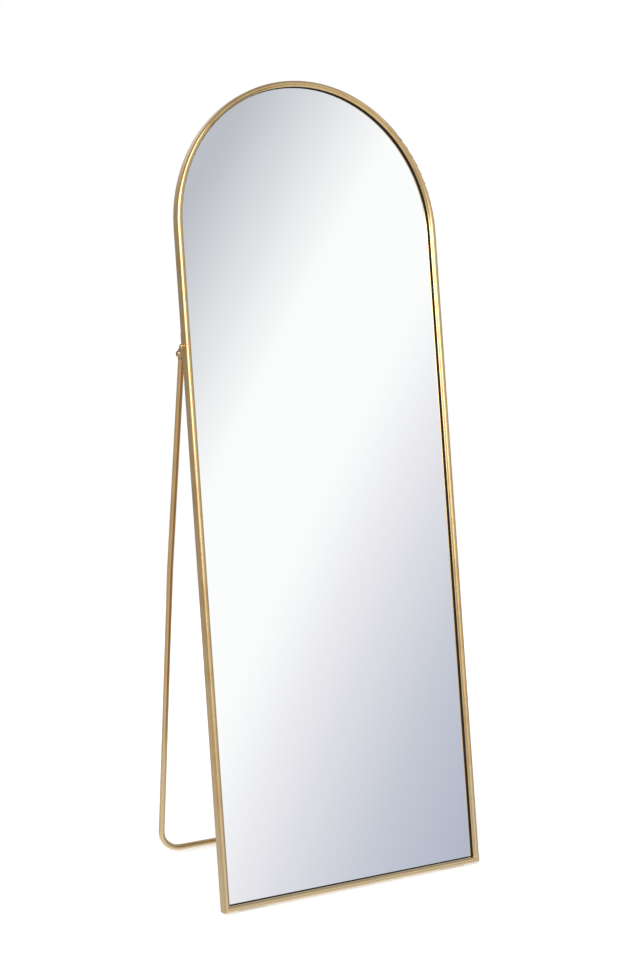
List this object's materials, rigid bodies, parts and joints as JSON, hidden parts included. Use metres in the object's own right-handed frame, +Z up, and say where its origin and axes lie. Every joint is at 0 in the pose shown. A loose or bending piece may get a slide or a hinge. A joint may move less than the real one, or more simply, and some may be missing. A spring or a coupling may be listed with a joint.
{
  "type": "folding floor mirror",
  "caption": "Arched full-length mirror in a slim bull-nosed gold metal rail, propped on a folding open U stand of round gold tube hinged at the frame's sides.",
  "frame": {"origin": "centre of the bounding box at floor level, stand open", "axes": "-Y is the way the glass faces, +X is to the right of a viewer who faces the glass, +Z up"},
  "size_m": [0.6238, 0.4112, 1.6382],
  "materials": {
    "gold_rail": "satin champagne gold, anodised",
    "gold_tube": "satin champagne gold",
    "gold_fitting": "satin champagne gold",
    "gold_screw": "satin gold",
    "key_metal": "mill",
    "plain_steel": "zinc plated",
    "silvered_glass": "silvered",
    "black_gasket": "matte",
    "foam_tape": "matte",
    "fibre_board": "plain brown fibreboard",
    "nylon": "natural",
    "clear_rubber": "pale, slightly clear"
  },
  "bodies": {
    "mirror": {"frame_arch": "gold_rail", "frame_bottom_rail": "gold_rail", "corner_key_left": "key_metal", "corner_key_right": "key_metal", "corner_key_screws": "plain_steel", "glass_gasket": "black_gasket", "mirror_glass": "silvered_glass", "mounting_tape": "foam_tape", "backing_board": "fibre_board", "setting_blocks": "nylon", "hinge_bracket_left": "gold_fitting", "hinge_bracket_right": "gold_fitting", "bracket_side_screws": "gold_screw", "bracket_back_screws": "plain_steel", "pivot_bolt_left": "gold_screw", "pivot_bolt_right": "gold_screw", "pivot_washers": "nylon", "pivot_nuts": "plain_steel", "front_foot_left": "clear_rubber", "front_foot_right": "clear_rubber"},
    "stand": {"leg_knuckle_left": "gold_fitting", "leg_knuckle_right": "gold_fitting", "knuckle_pins": "plain_steel", "stand_tube": "gold_tube", "stand_pad_left": "clear_rubber", "stand_pad_right": "clear_rubber"}
  },
  "joints": [
    {"name": "stand_fold", "type": "hinge", "parent": "mirror", "child": "stand", "pos_m": [0, -0.02243, 1.08926], "axis": [-1, 0, 0], "range_deg": [0, 19.29]}
  ]
}
